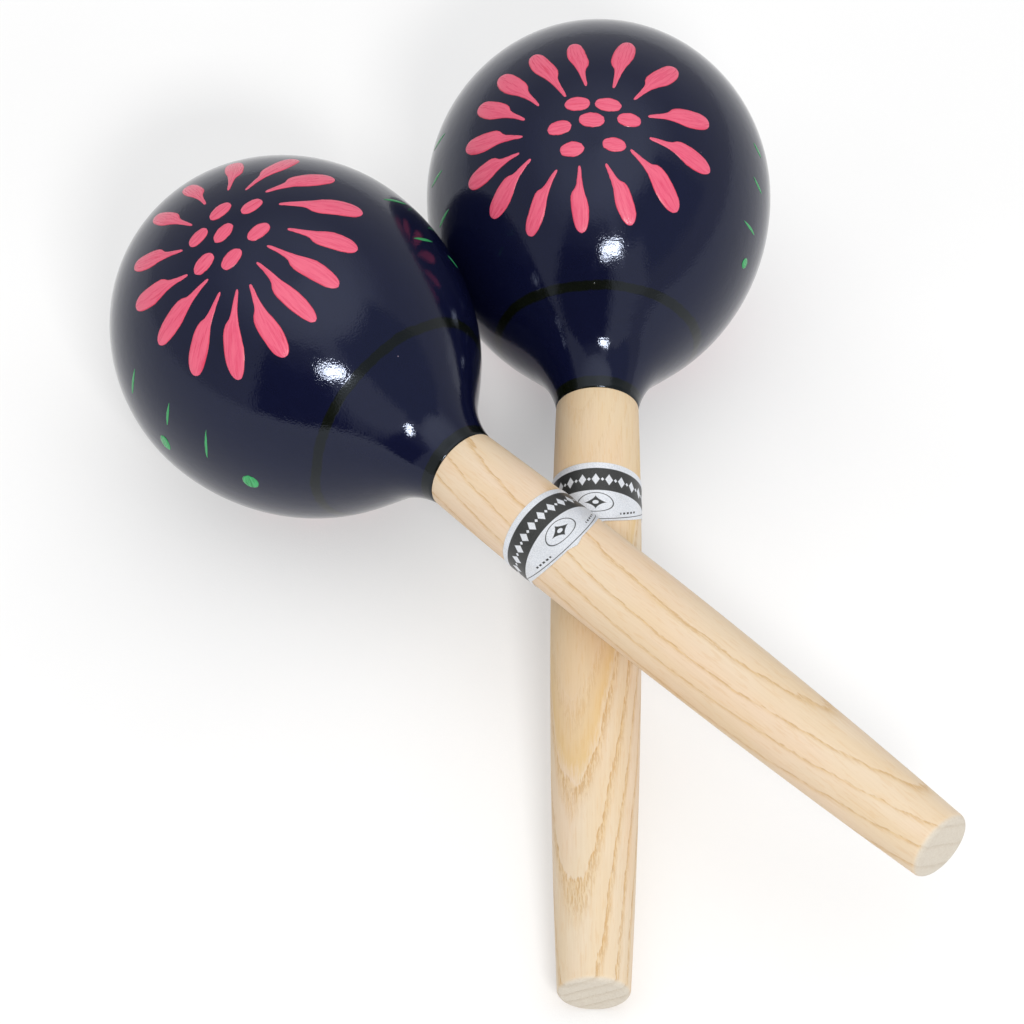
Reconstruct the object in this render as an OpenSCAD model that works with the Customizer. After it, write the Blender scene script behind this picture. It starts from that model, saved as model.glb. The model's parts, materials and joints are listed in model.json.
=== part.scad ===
// A pair of turned wooden maracas, laid crossed: the lower one rests on its head and on the
// end of its handle, and the handle of the upper one lies across the handle of the lower one.
// Each maraca is modelled upright, its axis on Z, its widest circle at Z = 0, its crown up
// and its handle down, and is then laid in its place.

/* [Head] */
// Radius of the head at its widest circle
head_r = 43.5; // [40:0.5:46]
// Height of the crown above the widest circle
crown_h = 46; // [45:0.5:47]
// How far past the axis the centre of the crown's side arc lies
crown_reach = 4.3; // [4:0.1:5]
// How far past the axis the centre of the lower arc lies
cone_reach = 15; // [13:0.5:17]
// Slope of the cone under the head, from the axis
cone_angle = 47; // [45:0.5:49]
// Slanted length of the straight cone
cone_len = 10.6; // [9:0.2:12]
// Radius of the hollow curve that runs into the neck
neck_fillet = 23; // [21:0.5:25]
// Thickness of the wooden wall
wall = 4; // [3:0.5:5]
// Depth of the glued lap between the two halves of the head
lap = 3; // [2:0.5:4]

/* [Handle] */
// Distance from the widest circle of the head to the end of the handle
handle_reach = 222.5; // [200:0.5:230]
// Distance from the widest circle of the head to the fullest part of the grip
grip_at = 117; // [110:1:125]
// Radius of the handle at its fullest
grip_r = 11; // [10.5:0.1:12]
// Radius of the handle at its end
end_r = 8.6; // [8:0.1:9.5]
// Rounding of the end's edge
end_round = 1.5; // [1:0.1:2]
// Radius of the tenon that is glued into the neck
tenon_r = 6; // [5:0.5:6.5]
// How far the neck reaches short of the point where its hollow curve would run out
neck_cut = 4; // [3:0.5:5]

/* [Label] */
// Length of the paper band at the back of the handle
label_back = 9.5; // [8:0.5:12]
// Length of the label at the front, down to the point of its tongue
label_front = 17.4; // [16:0.2:20]
// How far the small point stands out of the tongue
label_point = 0.8; // [0.4:0.1:1.2]
// Thickness of the paper
label_t = 0.2; // [0.15:0.05:0.3]
// Distance from the widest circle to the label of the lower maraca
lower_label_at = 85; // [80:0.5:90]
// Turn of the lower maraca's label about the handle, from straight up
lower_label_turn = -2; // [-30:1:30]
// Distance from the widest circle to the label of the upper maraca
upper_label_at = 89; // [80:0.5:90]
// Turn of the upper maraca's label about the handle, from straight up
upper_label_turn = -15; // [-30:1:30]

/* [Pellets] */
// Diameter of one pellet
pellet_d = 5; // [4:0.5:5]
// Pellets side by side in each row
pellets_per_row = 5; // [3:1:5]
// Space left round a pellet
pellet_gap = 0.3; // [0.2:0.1:0.4]
// First row of the lower maraca, from the widest circle towards the handle
lower_first_row = -2.2; // [-4:0.1:0]
// First row of the upper maraca, from the widest circle towards the handle
upper_first_row = -7.5; // [-9:0.1:-5]

/* [Pair] */
// Turn of the upper maraca from the lower one, seen from above
cross_angle = 44; // [40:0.5:48]
// Sideways distance between the two heads
heads_x = 76.3; // [76:0.1:80]
// Lengthwise distance between the two heads
heads_y = 46.9; // [46:0.1:50]
// Air between the two handles where they cross
cross_gap = 0.3; // [0.2:0.1:0.5]

/* [Hidden] */
$fn = 96;
// Straight steps in each arc of an outline, in a handle's flank and in a label's
arc_steps = 14;
flank_steps = 40;
label_steps = 6;
// Half of the angle that the small point of the tongue takes up
point_angle = 12;
// Angle on the inner arc at which the flat floor cuts the hollow
floor_angle = 57;
// Thickness of a glue line, and how far a cutting solid runs past what it cuts
glue = 0.05;
over = 1;
// Rows of pellets in each head
rows = 4;
pellets = rows * pellets_per_row;
MARACAS = ["lower", "upper"];
PIECES = ["crown_shell", "neck_shell", "handle", "label"];

lacquer = [0.07, 0.08, 0.2];
bare_wood = [0.93, 0.83, 0.64];
paper = [0.82, 0.83, 0.86];
seed = [0.45, 0.3, 0.18];

// The crown is a round cap that runs smoothly into the side arc at the angle cap_angle.
crown_slack = head_r + crown_reach - crown_h;
cap_z = (crown_reach * crown_reach - crown_slack * crown_slack) / (2 * crown_slack);
cap_r = crown_h - cap_z;
cap_angle = atan2(cap_z, crown_reach);

// Heights of the cone and of the neck, all below the widest circle
lower_r = head_r + cone_reach;
cone_top = [lower_r * cos(cone_angle) - cone_reach, -lower_r * sin(cone_angle)];
cone_end = cone_top - cone_len * [sin(cone_angle), cos(cone_angle)];
fillet_centre = cone_end + neck_fillet * [cos(cone_angle), -sin(cone_angle)];
neck_angle = asin(neck_cut / neck_fillet);
joint_z = fillet_centre[1] + neck_cut;
joint_r = fillet_centre[0] - neck_fillet * cos(neck_angle);

// The hollow ends in a flat floor, where the tenon comes through.
floor_z = -(lower_r - wall) * sin(floor_angle);
lap_r = head_r - wall / 2;

// Distance at which the rounding of the handle's end starts
edge_at = handle_reach - end_round;

// Half-outline points, [radius, height]: an arc about a centre from one angle to another
function arc(centre, radius, from, to) =
    [for (i = [0:arc_steps]) let (a = from + (to - from) * i / arc_steps)
        centre + radius * [cos(a), sin(a)]];

// Crown outline from a given height up to the pole, with the wall taken off when inside
function crown_line(inset, from_z) =
    let (side_r = head_r + crown_reach - inset)
    concat(
        arc([-crown_reach, 0], side_r, asin(from_z / side_r), cap_angle),
        arc([0, cap_z], cap_r - inset, cap_angle, 90));

// Radius of the handle at a distance below the widest circle: a barrel, fullest at grip_at
function handle_radius(reach) =
    let (near = (grip_at - reach) / (grip_at + joint_z),
         far = (reach - grip_at) / (edge_at - grip_at))
    reach < grip_at ? grip_r - (grip_r - joint_r) * near * near
                    : grip_r - (grip_r - end_r) * far * far;

// Outline of the handle's flank between two distances, moved outwards by grow
function flank(from, to, grow, steps) =
    [for (i = [0:steps]) let (reach = from + (to - from) * i / steps)
        [handle_radius(reach) + grow, -reach]];

function reversed(list) = [for (i = [len(list) - 1:-1:0]) list[i]];

// Domed half of the head, with the outer half of the lap at its rim
module crown_shell() {
    color(lacquer) rotate_extrude()
        polygon(concat(
            crown_line(0, 0),
            reversed(crown_line(wall, lap)),
            [[lap_r, lap], [lap_r, 0]]));
}
// Tapering half of the head with the neck, the socket for the tenon and the inner half of the lap
module neck_shell() {
    inner_r = lower_r - wall;
    color(lacquer) rotate_extrude()
        polygon(concat(
            arc([-cone_reach, 0], lower_r, 0, -cone_angle),
            arc(fillet_centre, neck_fillet, 180 - cone_angle, 180 - neck_angle),
            [[tenon_r + glue, joint_z], [tenon_r + glue, floor_z]],
            arc([-cone_reach, 0], inner_r, -floor_angle, 0),
            [[crown_line(wall, lap)[0][0], lap], [lap_r - glue, lap], [lap_r - glue, 0]]));
}

// Turned handle: tenon, shoulder, barrel-shaped grip and rounded flat end
module handle() {
    end_z = -handle_reach;
    color(bare_wood) rotate_extrude()
        polygon(concat(
            [[0, floor_z], [tenon_r, floor_z], [tenon_r, joint_z]],
            flank(-joint_z, edge_at, 0, flank_steps),
            arc([end_r - end_round, end_z + end_round], end_round, 0, -90),
            [[0, end_z]]));
}

// Length of the label at an angle from its front: the band widens into a pointed tongue
function label_length(angle) =
    label_back + (label_front - label_point - label_back) * cos(angle)
    + label_point * max(0, 1 - abs(angle) / point_angle);

// Paper label glued round the handle, its tongue towards -Y
module label(at, turn) {
    bottom = at + label_front;
    tongue_r = handle_radius(bottom) + glue + label_t;
    color(paper) rotate([0, 0, turn]) difference() {
        rotate_extrude()
            polygon(concat(
                flank(at, bottom, glue, label_steps),
                reversed(flank(at, bottom, glue + label_t, label_steps))));
        rotate([90, 0, 0]) linear_extrude(2 * grip_r)
            polygon(concat(
                [for (a = [-90:5:90]) [tongue_r * sin(a), -at - label_length(a)]],
                [[2 * grip_r, -at - label_back], [2 * grip_r, -bottom - over],
                 [-2 * grip_r, -bottom - over], [-2 * grip_r, -at - label_back]]));
        translate([-2 * grip_r, -glue, -bottom - over])
            cube([4 * grip_r, 2 * grip_r, over + label_front - label_back]);
    }
}

// One pellet lying against the wall; rows run along the axis, places run round it
module pellet(number, first_row) {
    pitch = pellet_d + pellet_gap;
    row = floor((number - 1) / pellets_per_row);
    place = (number - 1) % pellets_per_row - (pellets_per_row - 1) / 2;
    along = first_row + row * pitch;
    reach = along > 0 ? cone_reach : crown_reach;
    lane = head_r + reach - wall - pellet_d / 2 - pellet_gap;
    from_axis = sqrt(lane * lane - along * along) - reach;
    turn = 2 * asin((pitch / 2) / (from_axis - 1));
    color(seed) rotate([0, 0, place * turn]) translate([0, from_axis, -along])
        sphere(d = pellet_d, $fn = 32);
}

// The lower maraca tips until its head and the round edge of its handle end touch the table.
edge_arm = [edge_at, cone_reach + end_r - end_round];
lower_tilt = asin((lower_r - end_round) / norm(edge_arm)) - atan2(edge_arm[1], edge_arm[0]);
lower_z = lower_r - cone_reach * cos(lower_tilt);

// The upper maraca rises towards its handle until the handle clears the one that it lies on.
cross_upper = heads_x / sin(cross_angle);
cross_lower = heads_y + cross_upper * cos(cross_angle);
cross_z = lower_z - cross_lower * tan(lower_tilt);
function upper_height(tilt) = head_r + crown_reach - crown_reach * cos(tilt);
function cross_normal(tilt) = cross(
    [0, -cos(lower_tilt), -sin(lower_tilt)],
    [sin(cross_angle) * cos(tilt), -cos(cross_angle) * cos(tilt), sin(tilt)]);
function rise(tilt) =
    let (n = cross_normal(tilt))
    (2 * grip_r + glue + label_t + cross_gap) * norm(n) / n[2];
function settled_tilt(tilt, rounds) = rounds == 0 ? tilt
    : settled_tilt(atan((cross_z + rise(tilt) - upper_height(tilt)) / cross_upper), rounds - 1);
upper_tilt = settled_tilt(1, 8);
upper_z = upper_height(upper_tilt);

// Middle of the pair's footprint, seen from the lower head
middle = [-18.6, -87.4];

// Lays a maraca in its place, with the middle of the pair's footprint over the origin
module laid(maraca) {
    if (maraca == "lower")
        translate([-middle[0], -middle[1], lower_z]) rotate([lower_tilt - 90, 0, 0]) children();
    else
        translate([-heads_x - middle[0], -heads_y - middle[1], upper_z])
            rotate([0, 0, cross_angle]) rotate([-90 - upper_tilt, 0, 0]) children();
}

for (m = MARACAS) {
    laid(m) crown_shell();
    laid(m) neck_shell();
    laid(m) handle();
    laid(m) label(m == "lower" ? lower_label_at : upper_label_at,
                      m == "lower" ? lower_label_turn : upper_label_turn);
    for (i = [1:pellets])
        laid(m) pellet(i, m == "lower" ? lower_first_row : upper_first_row);
}
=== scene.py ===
import json
import math
import random

import bpy
import numpy as np
from mathutils import Matrix, Vector


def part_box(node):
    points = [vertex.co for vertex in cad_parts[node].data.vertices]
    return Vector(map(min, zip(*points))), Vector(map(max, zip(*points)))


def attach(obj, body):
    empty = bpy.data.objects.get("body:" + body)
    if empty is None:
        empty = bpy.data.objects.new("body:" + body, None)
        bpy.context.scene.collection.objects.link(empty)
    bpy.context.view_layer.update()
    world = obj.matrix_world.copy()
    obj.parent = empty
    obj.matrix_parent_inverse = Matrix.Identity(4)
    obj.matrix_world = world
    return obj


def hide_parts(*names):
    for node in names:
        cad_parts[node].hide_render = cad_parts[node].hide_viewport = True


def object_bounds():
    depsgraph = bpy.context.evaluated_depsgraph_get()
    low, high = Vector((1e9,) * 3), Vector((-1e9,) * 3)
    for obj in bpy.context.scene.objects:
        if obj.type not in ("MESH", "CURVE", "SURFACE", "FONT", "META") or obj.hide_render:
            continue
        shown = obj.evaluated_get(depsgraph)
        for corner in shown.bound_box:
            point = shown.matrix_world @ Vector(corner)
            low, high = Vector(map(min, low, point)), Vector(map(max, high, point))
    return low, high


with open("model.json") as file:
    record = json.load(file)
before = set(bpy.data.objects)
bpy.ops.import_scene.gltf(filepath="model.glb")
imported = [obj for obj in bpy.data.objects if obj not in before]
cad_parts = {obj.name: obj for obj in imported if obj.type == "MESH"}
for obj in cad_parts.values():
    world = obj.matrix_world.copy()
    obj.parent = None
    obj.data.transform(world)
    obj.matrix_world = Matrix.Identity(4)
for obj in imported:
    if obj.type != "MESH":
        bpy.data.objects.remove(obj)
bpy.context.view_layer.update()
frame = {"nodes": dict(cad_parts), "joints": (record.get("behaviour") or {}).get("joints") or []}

MM = 0.001
DEG = math.pi / 180
MARACAS = ("lower", "upper")


# ---------------------------------------------------------------- camera and studio

def show(made):
    bpy.context.scene.collection.objects.link(made)


def make_camera():
    """A long lens, looking down at the crossed pair from the ends of the handles."""
    aim = Vector((-2.4, 19.95, 0)) * MM
    azimuth, elevation, distance = 0.786 * DEG, 50.11 * DEG, 1283 * MM
    back = Vector((math.sin(azimuth) * math.cos(elevation),
                   -math.cos(azimuth) * math.cos(elevation), math.sin(elevation)))
    data = bpy.data.cameras.new("camera")
    data.sensor_width, data.lens = 36, 179.4
    camera = bpy.data.objects.new("camera", data)
    camera.location = aim + back * distance
    camera.rotation_euler = (-back).to_track_quat("-Z", "Y").to_euler()
    show(camera)
    bpy.context.scene.camera = camera


make_camera()


# ---------------------------------------------------------------- node trees

FLOAT, COLOR = "NodeSocketFloat", "NodeSocketColor"
VECTOR, MATERIAL = "NodeSocketVector", "NodeSocketMaterial"


class Graph:
    """Adds nodes to a tree. An input takes a socket, which is linked, or a plain value."""

    def __init__(self, tree):
        self.tree = tree

    def node(self, kind, inputs=None, **settings):
        made = self.tree.nodes.new(kind)
        for name, value in settings.items():
            setattr(made, name, value)
        for socket, value in (inputs or {}).items():
            self.feed(made.inputs[socket], value)
        return made

    def feed(self, socket, value):
        if isinstance(value, bpy.types.NodeSocket):
            self.tree.links.new(value, socket)
        else:
            socket.default_value = value

    def math(self, operation, *values):
        return self.node("ShaderNodeMath", dict(enumerate(values)), operation=operation).outputs[0]

    def add(self, a, b):
        return self.math("ADD", a, b)

    def sub(self, a, b):
        return self.math("SUBTRACT", a, b)

    def mul(self, a, b):
        return self.math("MULTIPLY", a, b)

    def vector(self, operation, *values):
        made = self.node("ShaderNodeVectorMath", dict(enumerate(values)), operation=operation)
        return made.outputs["Value"] if operation == "LENGTH" else made.outputs["Vector"]

    def combine(self, x=0.0, y=0.0, z=0.0):
        return self.node("ShaderNodeCombineXYZ", {0: x, 1: y, 2: z}).outputs[0]

    def position(self):
        return self.node("GeometryNodeInputPosition").outputs[0]

    def separate(self, vector):
        return self.node("ShaderNodeSeparateXYZ", {0: vector}).outputs

    def step(self, value, low, high, start=0.0, end=1.0):
        """Runs smoothly from start to end as value runs from low to high."""
        return self.node("ShaderNodeMapRange", {0: value, 1: low, 2: high, 3: start, 4: end},
                         interpolation_type="SMOOTHSTEP").outputs[0]

    def span(self, value, rise, top, fall, end):
        """Is 1 from top to fall and 0 before rise and after end, with smooth slopes between."""
        return self.mul(self.step(value, rise, top), self.step(value, fall, end, 1.0, 0.0))

    def between(self, value, low, high, blur):
        """Is 1 between low and high, with slopes that reach blur to each side of both."""
        return self.span(value, low - blur, low + blur, high - blur, high + blur)

    def mix(self, share, a, b):
        """Mixes two colours."""
        made = self.node("ShaderNodeMix", {0: share, 6: a, 7: b}, data_type="RGBA")
        return made.outputs[2]

    def noise(self, vector, scale, detail=2.0, roughness=0.5):
        """Smooth noise around 0.5 at a scale in lumps per metre."""
        return self.node("ShaderNodeTexNoise", {"Vector": vector, "Scale": scale, "Detail": detail,
                                                "Roughness": roughness}).outputs[0]

    def streaks(self, place, across, along, detail=2.0, roughness=0.5):
        """Noise drawn out along Z, in lumps per metre across and along."""
        return self.noise(self.vector("MULTIPLY", place, (across, across, along)), 1.0, detail, roughness)


def group_tree(name, kind, inputs, outputs):
    """A node group whose inputs are name: (socket type, default) and outputs name: socket type."""
    tree = bpy.data.node_groups.new(name, kind)
    for label, (socket, default) in inputs.items():
        made = tree.interface.new_socket(label, in_out="INPUT", socket_type=socket)
        if default is not None:
            made.default_value = default
    for label, socket in outputs.items():
        tree.interface.new_socket(label, in_out="OUTPUT", socket_type=socket)
    graph = Graph(tree)
    given = tree.nodes.new("NodeGroupInput").outputs
    result = tree.nodes.new("NodeGroupOutput").inputs
    return tree, graph, given, result


# ---------------------------------------------------------------- places and outlines

class Maraca:
    """Where a maraca lies: local +Z runs to the crown, local -Y up across the handle."""

    def __init__(self, name):
        self.name = name
        self.body = f"{name}_maraca"
        run = next(j for j in frame["joints"] if j["name"] == f"{name}_pellet_run")
        along = Vector(run["axis"]).normalized()
        up = (Vector((0, 0, 1)) - along * along.z).normalized()
        self.place = Matrix((up.cross(along), -up, -along)).transposed().to_4x4()
        self.place.translation = Vector(run["pos_m"])
        crown = self.skin(f"{name}_crown_shell")
        neck = self.skin(f"{name}_neck_shell")
        handle = self.skin(f"{name}_handle")
        self.joint = -neck[-1, 1]
        self.end = -handle[-1, 1]
        self.head_r = crown[-1, 0]
        head = corners(np.concatenate([crown, neck[neck[:, 1] < -MM]]), 1 * DEG)
        self.head_line = smooth_line(head, MM)
        self.handle_line = corners(handle[handle[:, 1] < 1e-6 - self.joint], 0.1 * DEG)
        label = self.local(f"{name}_label")[:, :3]
        self.label_top = -label[:, 2].max()
        self.label_front = -label[:, 2].min() - self.label_top
        tongue = label[label[:, 2].argmin()]
        self.label_turn = math.atan2(tongue[0], -tongue[1])
        behind = label[:, :2] @ tongue[:2] < -0.2 * (tongue[:2] @ tongue[:2])
        self.label_back = -label[behind][:, 2].min() - self.label_top

    def local(self, node):
        """A CAD node's corners in the maraca's own axes, each with the way its face looks."""
        mesh = frame["nodes"][node].data
        turn = self.place.inverted()
        spots = [turn @ mesh.vertices[i].co for face in mesh.polygons for i in face.vertices]
        looks = [turn.to_3x3() @ face.normal for face in mesh.polygons for _ in face.vertices]
        return np.hstack([np.array(spots), np.array(looks)])

    def skin(self, node):
        """Outer outline of a turned CAD node as rows (radius, height), from the crown down."""
        spots = self.local(node)
        outer = spots[(spots[:, :3] * spots[:, 3:]).sum(1) > 1e-5]
        widest = {}
        for radius, height in zip(np.hypot(outer[:, 0], outer[:, 1]), np.round(outer[:, 2], 6)):
            widest[height] = max(widest.get(height, 0), radius)
        top = max(widest)
        line = [(widest[top], top)]
        for height in sorted(widest, reverse=True):
            if math.dist(line[-1], (widest[height], height)) > 0.05 * MM and widest[height] > MM:
                line.append((widest[height], height))
        return np.array(line)

    def head_at(self, reach):
        """Radius of the head at a distance below its widest circle."""
        return float(np.interp(reach, -self.head_line[:, 1], self.head_line[:, 0]))

    def handle_at(self, reach):
        """Radius of the handle at a distance below the head's widest circle."""
        return float(np.interp(reach, -self.handle_line[:, 1], self.handle_line[:, 0]))


def corners(points, bend):
    """The points where a line turns by more than bend, and its two ends."""
    way = np.arctan2(*np.diff(points, axis=0).T)
    keep = np.concatenate([[True], np.abs(np.diff(way)) > bend, [True]])
    return points[keep]


def smooth_line(points, step):
    """A smooth line through the points, cut into even steps."""
    t = np.concatenate([[0], np.cumsum(np.hypot(*np.diff(points, axis=0).T))])
    slope = np.gradient(points, t, axis=0)
    slope[0] = (1, 0)
    at = np.linspace(0, t[-1], round(t[-1] / step) + 1)
    i = np.clip(np.searchsorted(t, at, side="right") - 1, 0, len(t) - 2)
    span = (t[i + 1] - t[i])[:, None]
    u = (at - t[i])[:, None] / span
    return ((2 * u ** 3 - 3 * u ** 2 + 1) * points[i] + (u ** 3 - 2 * u ** 2 + u) * span * slope[i]
            + (3 * u ** 2 - 2 * u ** 3) * points[i + 1] + (u ** 3 - u ** 2) * span * slope[i + 1])


pair = {name: Maraca(name) for name in MARACAS}


# ---------------------------------------------------------------- shader groups

def shader_group(name, inputs, outputs):
    return group_tree(name, "ShaderNodeTree", inputs, outputs)


def wood_grain_group():
    """Ash: rings round a pith line, each with a band of open pores at its start, and fine fibres.
    The pith lies beside the handle, in the direction Ring Turn. Lean and Bow tilt and bend it."""
    tree, g, given, result = shader_group("wood_grain", {
        "Place": (VECTOR, None), "Pith Distance": (FLOAT, 0.06),
        "Ring Turn": (FLOAT, 0.0), "Lean": (FLOAT, 0.1),
        "Bow": (FLOAT, 0.0), "Bow At": (FLOAT, 0.145),
        "Ring Gap": (FLOAT, 0.003), "Ring Shift": (FLOAT, 0.0),
        "Wander": (FLOAT, 0.0006), "Warm Before": (FLOAT, 0.0),
        "Feather": (FLOAT, 0.3), "Pale": (COLOR, (0.7, 0.56, 0.36, 1)),
        "Blush": (COLOR, (0.76, 0.55, 0.41, 1)),
        "Honey": (COLOR, (0.62, 0.34, 0.1, 1)),
        "Gold": (COLOR, (0.68, 0.46, 0.19, 1)),
        "Pore": (COLOR, (0.52, 0.29, 0.1, 1)),
        "End Reach": (FLOAT, 0.2225),
    }, {"Color": COLOR, "Roughness": FLOAT, "Height": FLOAT})
    place = given["Place"]
    x, y, z = g.separate(place)
    reach = g.mul(z, -1.0)
    up = g.mul(y, -1.0)
    cos, sin = g.math("COSINE", given["Ring Turn"]), g.math("SINE", given["Ring Turn"])
    towards = g.add(g.mul(x, sin), g.mul(up, cos))
    beside = g.sub(g.mul(x, cos), g.mul(up, sin))
    slow = g.streaks(place, 40.0, 16.0, 1.0)
    shake = g.streaks(place, 420.0, 150.0, 2.0)
    wander = g.mul(g.sub(slow, 0.5), g.mul(given["Wander"], 4.0))
    wander = g.add(wander, g.mul(g.sub(shake, 0.5), 0.0012))
    bent = g.sub(reach, given["Bow At"])
    tilt = g.add(g.mul(reach, given["Lean"]),
                  g.mul(given["Bow"], g.mul(bent, bent)))
    depth = g.add(g.sub(given["Pith Distance"], towards), g.add(tilt, wander))
    radius = g.math("SQRT", g.add(g.mul(depth, depth), g.mul(beside, beside)))
    ring = g.add(g.math("DIVIDE", radius, given["Ring Gap"]), given["Ring Shift"])
    part = g.math("FRACT", ring)
    own, strength, _ = g.separate(g.node("ShaderNodeTexWhiteNoise", {"W": g.math("FLOOR", ring)},
                                         noise_dimensions="1D").outputs["Color"])

    # Pores: dashes along the grain, densest in the band at the start of a ring and fading out in places
    fibre = g.streaks(place, 2400.0, 60.0, 3.0, 0.6)
    dash = g.streaks(place, 3000.0, 380.0, 2.0, 0.6)
    fade = g.step(g.streaks(place, 300.0, 75.0, 2.0), 0.36, 0.56, 0.3, 1.0)
    fleck = g.streaks(place, 1900.0, 200.0, 2.0)
    ragged = g.mul(g.sub(dash, 0.5), 0.42)
    width = g.add(g.math("MULTIPLY_ADD", own, 0.16, -0.08), given["Feather"])
    edge = g.step(g.add(part, g.mul(ragged, 0.2)), 0.0, 0.05)
    young = g.step(g.sub(given["Warm Before"], ring), 0.95, 0.6, 0.15, 1.0)
    edge = g.mul(edge, young)
    band = g.mul(g.step(g.add(part, ragged), 0.0, width, 1.0, 0.0), edge)
    line = g.mul(g.step(g.add(part, g.mul(ragged, 0.4)), 0.03, 0.13, 1.0, 0.0), edge)
    line = g.mul(g.mul(line, fade), g.step(strength, 0.0, 1.0, 0.6, 1.0))
    pore = g.mul(g.step(dash, 0.46, 0.58), g.math("MAXIMUM", line, g.math("POWER", band, 0.75)))

    # Tones: pale wood with a pink cloud, a gold haze and the warm heart of the U shapes
    cloud = g.streaks(place, 80.0, 18.0, 2.0)
    haze = g.streaks(place, 130.0, 25.0, 2.0)
    colour = g.mix(g.step(cloud, 0.38, 0.62, 0.0, 0.4), given["Pale"], given["Blush"])
    colour = g.mix(g.step(haze, 0.42, 0.66, 0.0, 0.15), colour, given["Gold"])
    colour = g.mix(g.step(part, 0.3, 1.0, 0.0, 0.12), colour, given["Gold"])
    warm = g.step(g.add(g.sub(given["Warm Before"], ring), ragged), -0.05, 0.3)
    glow = g.step(g.sub(given["Warm Before"], ring), 1.0, 0.0, 0.25, 0.85)
    colour = g.mix(g.mul(warm, glow), colour, given["Gold"])
    colour = g.mix(g.mul(band, g.step(fibre, 0.3, 0.7, 0.25, 0.55)), colour, given["Gold"])
    colour = g.mix(g.mul(line, 0.26), colour, given["Honey"])
    colour = g.mix(g.mul(pore, 0.68), colour, given["Pore"])
    colour = g.mix(g.step(fibre, 0.32, 0.7, 0.0, 0.15), colour, (0.56, 0.4, 0.24, 1))
    colour = g.mix(g.step(fleck, 0.56, 0.64, 0.0, 0.15), colour, given["Honey"])

    # The sawn end is greyer and shows the rings faintly
    end = g.step(g.add(z, given["End Reach"]), 0.0013, 0.0002)
    speck = g.noise(place, 2200.0, 3.0)
    cut = g.mix(g.step(speck, 0.35, 0.7, 0.0, 0.3), (0.61, 0.555, 0.47, 1), (0.47, 0.39, 0.3, 1))
    cut = g.mix(g.mul(band, 0.25), cut, (0.52, 0.42, 0.3, 1))
    g.feed(result["Color"], g.mix(end, colour, cut))
    g.feed(result["Roughness"], g.math("MULTIPLY_ADD", fibre, 0.16, 0.48))
    relief = g.sub(g.mul(fibre, 0.35), pore)
    g.feed(result["Height"], g.add(relief, g.mul(g.mul(speck, end), 0.8)))
    return tree


def paint_skin_group():
    """The surface of brushed or sprayed gloss paint: orange peel, dust nibs and faint clouding."""
    tree, g, given, result = shader_group("paint_skin", {
        "Place": (VECTOR, None), "Color": (COLOR, (0.003, 0.004, 0.028, 1)),
        "Nib Color": (COLOR, (0.2, 0.15, 0.2, 1)), "Peel": (FLOAT, 1.0),
        "Clouding": (FLOAT, 0.3), "Roughness": (FLOAT, 0.08),
    }, {"Color": COLOR, "Roughness": FLOAT, "Height": FLOAT})
    place = given["Place"]
    peel = g.noise(place, 2100.0, 1.0, 0.6)
    wave = g.noise(place, 330.0, 1.0)
    cells = g.node("ShaderNodeTexVoronoi", {"Vector": place, "Scale": 115.0})
    few = g.step(g.separate(cells.outputs["Color"])[0], 0.86, 0.87)
    nib = g.mul(g.step(cells.outputs["Distance"], 0.012, 0.028, 1.0, 0.0), few)
    cloud = g.noise(place, 55.0, 3.0)
    smear = g.noise(g.vector("MULTIPLY", place, (1.0, 1.0, 0.35)), 420.0, 4.0, 0.65)
    tone = g.mul(g.sub(g.add(cloud, smear), 1.0), given["Clouding"])
    colour = g.vector("MULTIPLY", given["Color"], g.combine(*[g.add(tone, 1.0)] * 3))
    g.feed(result["Color"], g.mix(nib, colour, given["Nib Color"]))
    g.feed(result["Roughness"], g.add(given["Roughness"], g.step(smear, 0.5, 0.75, 0.0, 0.05)))
    height = g.add(g.mul(peel, given["Peel"]), g.mul(wave, 1.5))
    g.feed(result["Height"], g.add(height, g.mul(nib, 2.0)))
    return tree


WOOD_GRAIN = wood_grain_group()
PAINT_SKIN = paint_skin_group()


# ---------------------------------------------------------------- materials

def new_material(name):
    """A material, its graph, a way to put values into its Principled shader, and the maraca's own axes."""
    made = bpy.data.materials.new(name)
    made.use_nodes = True
    g = Graph(made.node_tree)
    shader = made.node_tree.nodes["Principled BSDF"]
    place = g.node("ShaderNodeAttribute", attribute_name="place").outputs["Vector"]

    def put(socket, value):
        g.feed(shader.inputs[socket], value)

    return made, g, put, place


def use_group(g, tree, values):
    made = g.node("ShaderNodeGroup", node_tree=tree)
    for name, value in values.items():
        g.feed(made.inputs[name], value)
    return made.outputs


def bump(g, height, depth, strength=1.0):
    """A normal from a height in units of depth, in metres."""
    return g.node("ShaderNodeBump", {"Height": height, "Distance": depth, "Strength": strength}).outputs[0]


def wood_material(name, maraca, **grain):
    made, g, put, place = new_material(name)
    out = use_group(g, WOOD_GRAIN, {"Place": place, "End Reach": maraca.end, **grain})
    put("Base Color", out["Color"])
    put("Roughness", out["Roughness"])
    put("Normal", bump(g, out["Height"], 0.06 * MM))
    put("Specular IOR Level", 0.35)
    return made


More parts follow.
